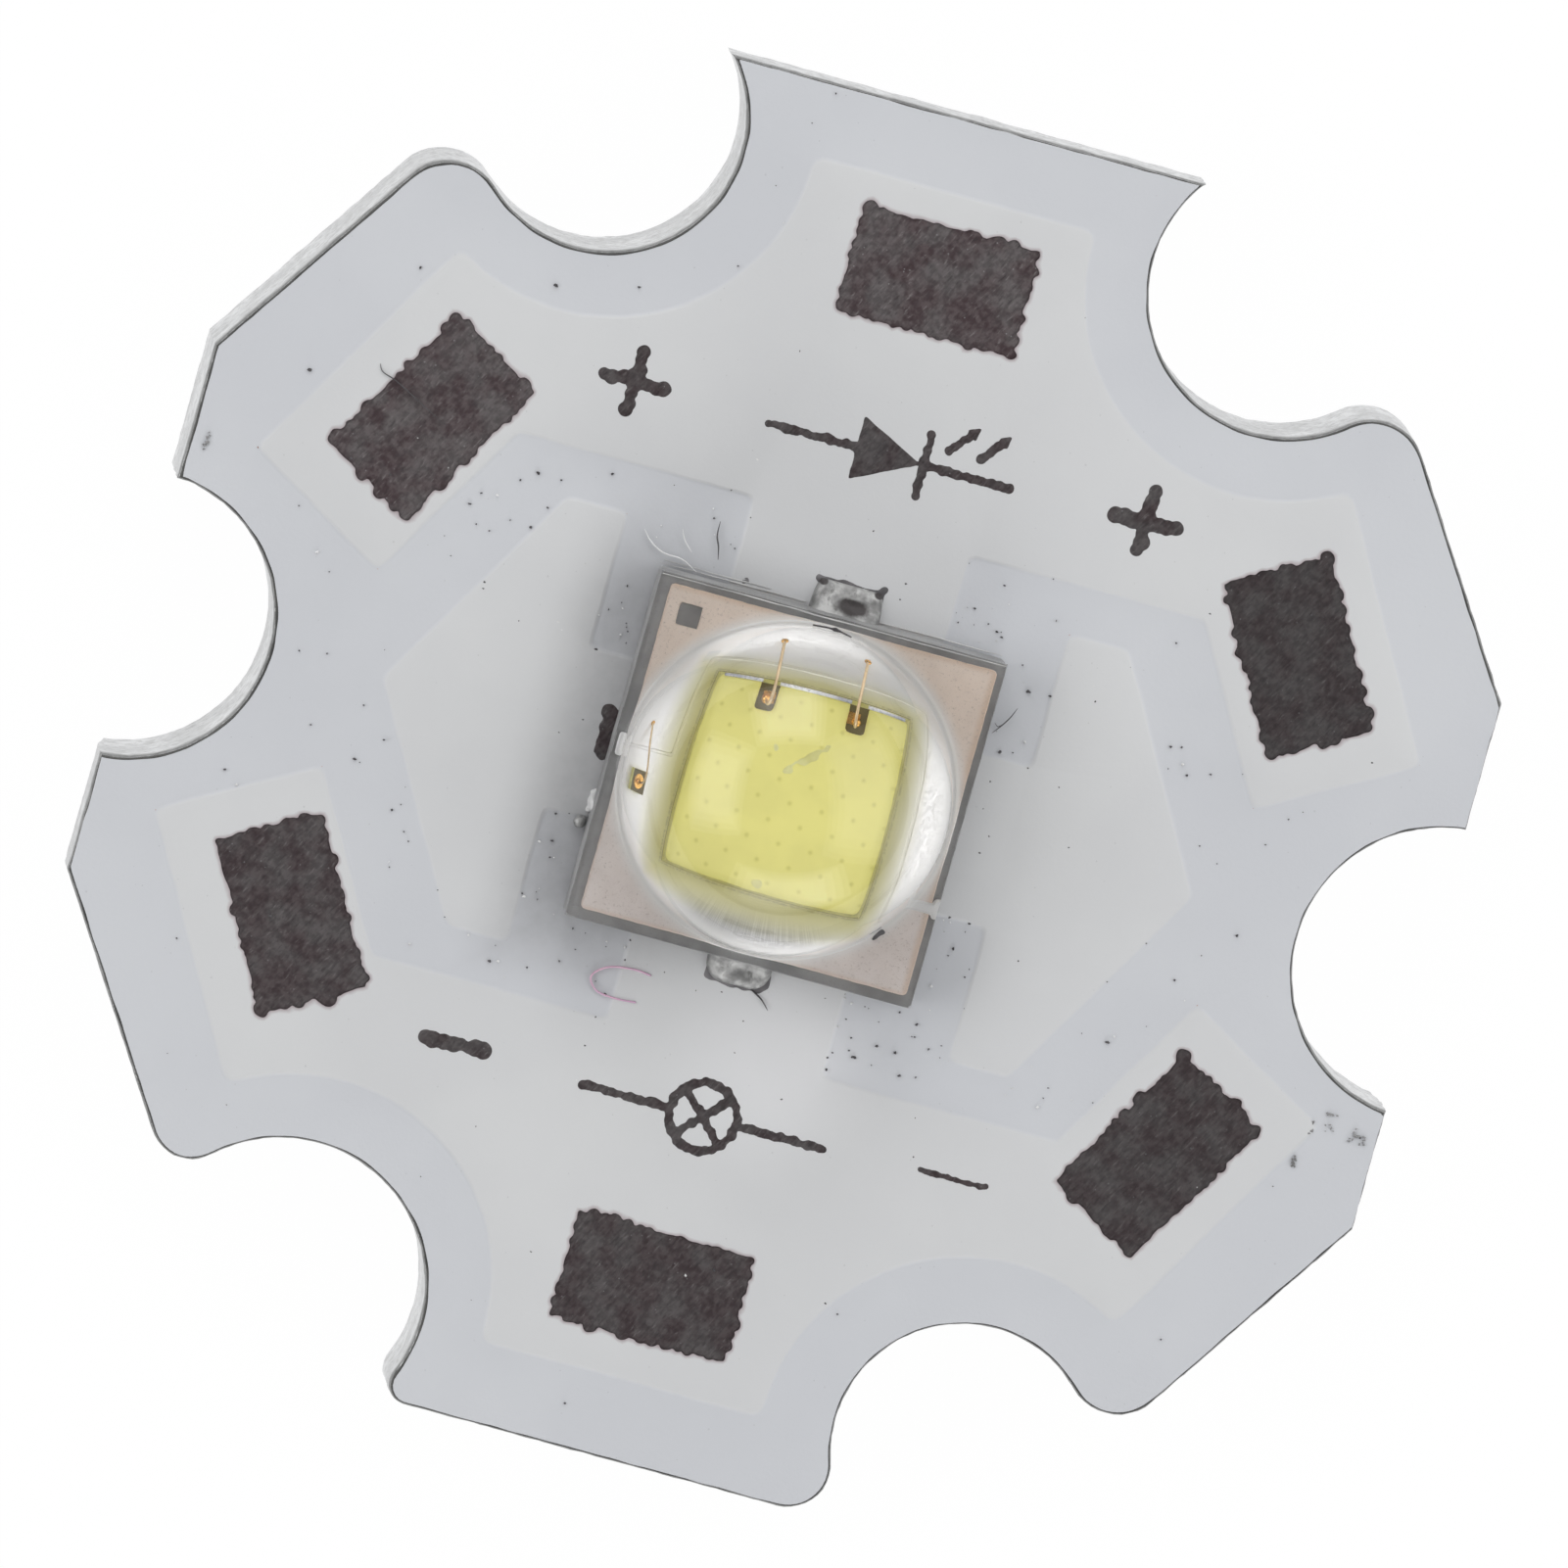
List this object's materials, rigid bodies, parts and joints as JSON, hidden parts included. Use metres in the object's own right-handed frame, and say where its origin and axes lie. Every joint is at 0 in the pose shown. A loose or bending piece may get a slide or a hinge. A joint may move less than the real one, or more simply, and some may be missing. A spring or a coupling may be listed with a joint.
{
  "type": "high-power led chip",
  "caption": "High-power LED package with a clear silicone dome, soldered to a star-shaped aluminium circuit board with screw notches and wire pads.",
  "frame": {"origin": "centre of the board's underside, which rests on the ground", "axes": "+Z is the way the light leaves, up from the board; +Y points at the lobe with the positive side's middle wire pad; +X is to the right seen from above"},
  "size_m": [0.0186, 0.0194, 0.0051],
  "materials": {
    "aluminium_core": "routed edges, finely grained and dull",
    "insulating_film": "thin filled resin, matt",
    "copper": "bare copper under the mask",
    "white_mask": "satin white solder mask",
    "charred_pad": "burnt, rough and brown-black",
    "burnt_mark": "burnt, matt brown-black",
    "solder": "bright solder with flux haze",
    "gold_plate": "thin gold plate",
    "gold_wire": "bright gold wire",
    "alumina": "grey-white matt ceramic",
    "silver_plate": "silver plate, tarnished a warm beige",
    "white_fill": "white glass fill",
    "die": "polished semiconductor",
    "silicon": "polished semiconductor",
    "phosphor": "pale yellow powder in resin",
    "clear_silicone": "clear soft silicone, glossy"
  },
  "bodies": {
    "root": {"base_plate": "aluminium_core", "dielectric_film": "insulating_film", "anode_track": "copper", "cathode_track": "copper", "thermal_track": "copper", "solder_mask": "white_mask", "anode_pad_left": "charred_pad", "anode_pad_top": "charred_pad", "anode_pad_right": "charred_pad", "cathode_pad_left": "charred_pad", "cathode_pad_bottom": "charred_pad", "cathode_pad_right": "charred_pad", "plus_mark_left": "burnt_mark", "plus_mark_right": "burnt_mark", "minus_mark_left": "burnt_mark", "minus_mark_right": "burnt_mark", "diode_symbol": "burnt_mark", "lamp_symbol": "burnt_mark", "index_bar": "burnt_mark", "anode_solder": "solder", "cathode_solder": "solder", "thermal_solder": "solder", "stray_solder_ball": "solder", "anode_land": "gold_plate", "cathode_land": "gold_plate", "thermal_land": "gold_plate", "anode_vias": "gold_plate", "cathode_vias": "gold_plate", "ceramic_substrate": "alumina", "wire_bond_metal": "silver_plate", "die_attach_metal": "silver_plate", "metal_gap_fill": "white_fill", "die_attach_solder": "gold_plate", "led_die": "die", "phosphor_layer": "phosphor", "bond_pad_left": "gold_plate", "bond_pad_right": "gold_plate", "bond_wire_left": "gold_wire", "bond_wire_right": "gold_wire", "protection_diode": "silicon", "protection_pad": "gold_plate", "protection_wire": "gold_wire", "silicone_lens": "clear_silicone"}
  },
  "joints": []
}
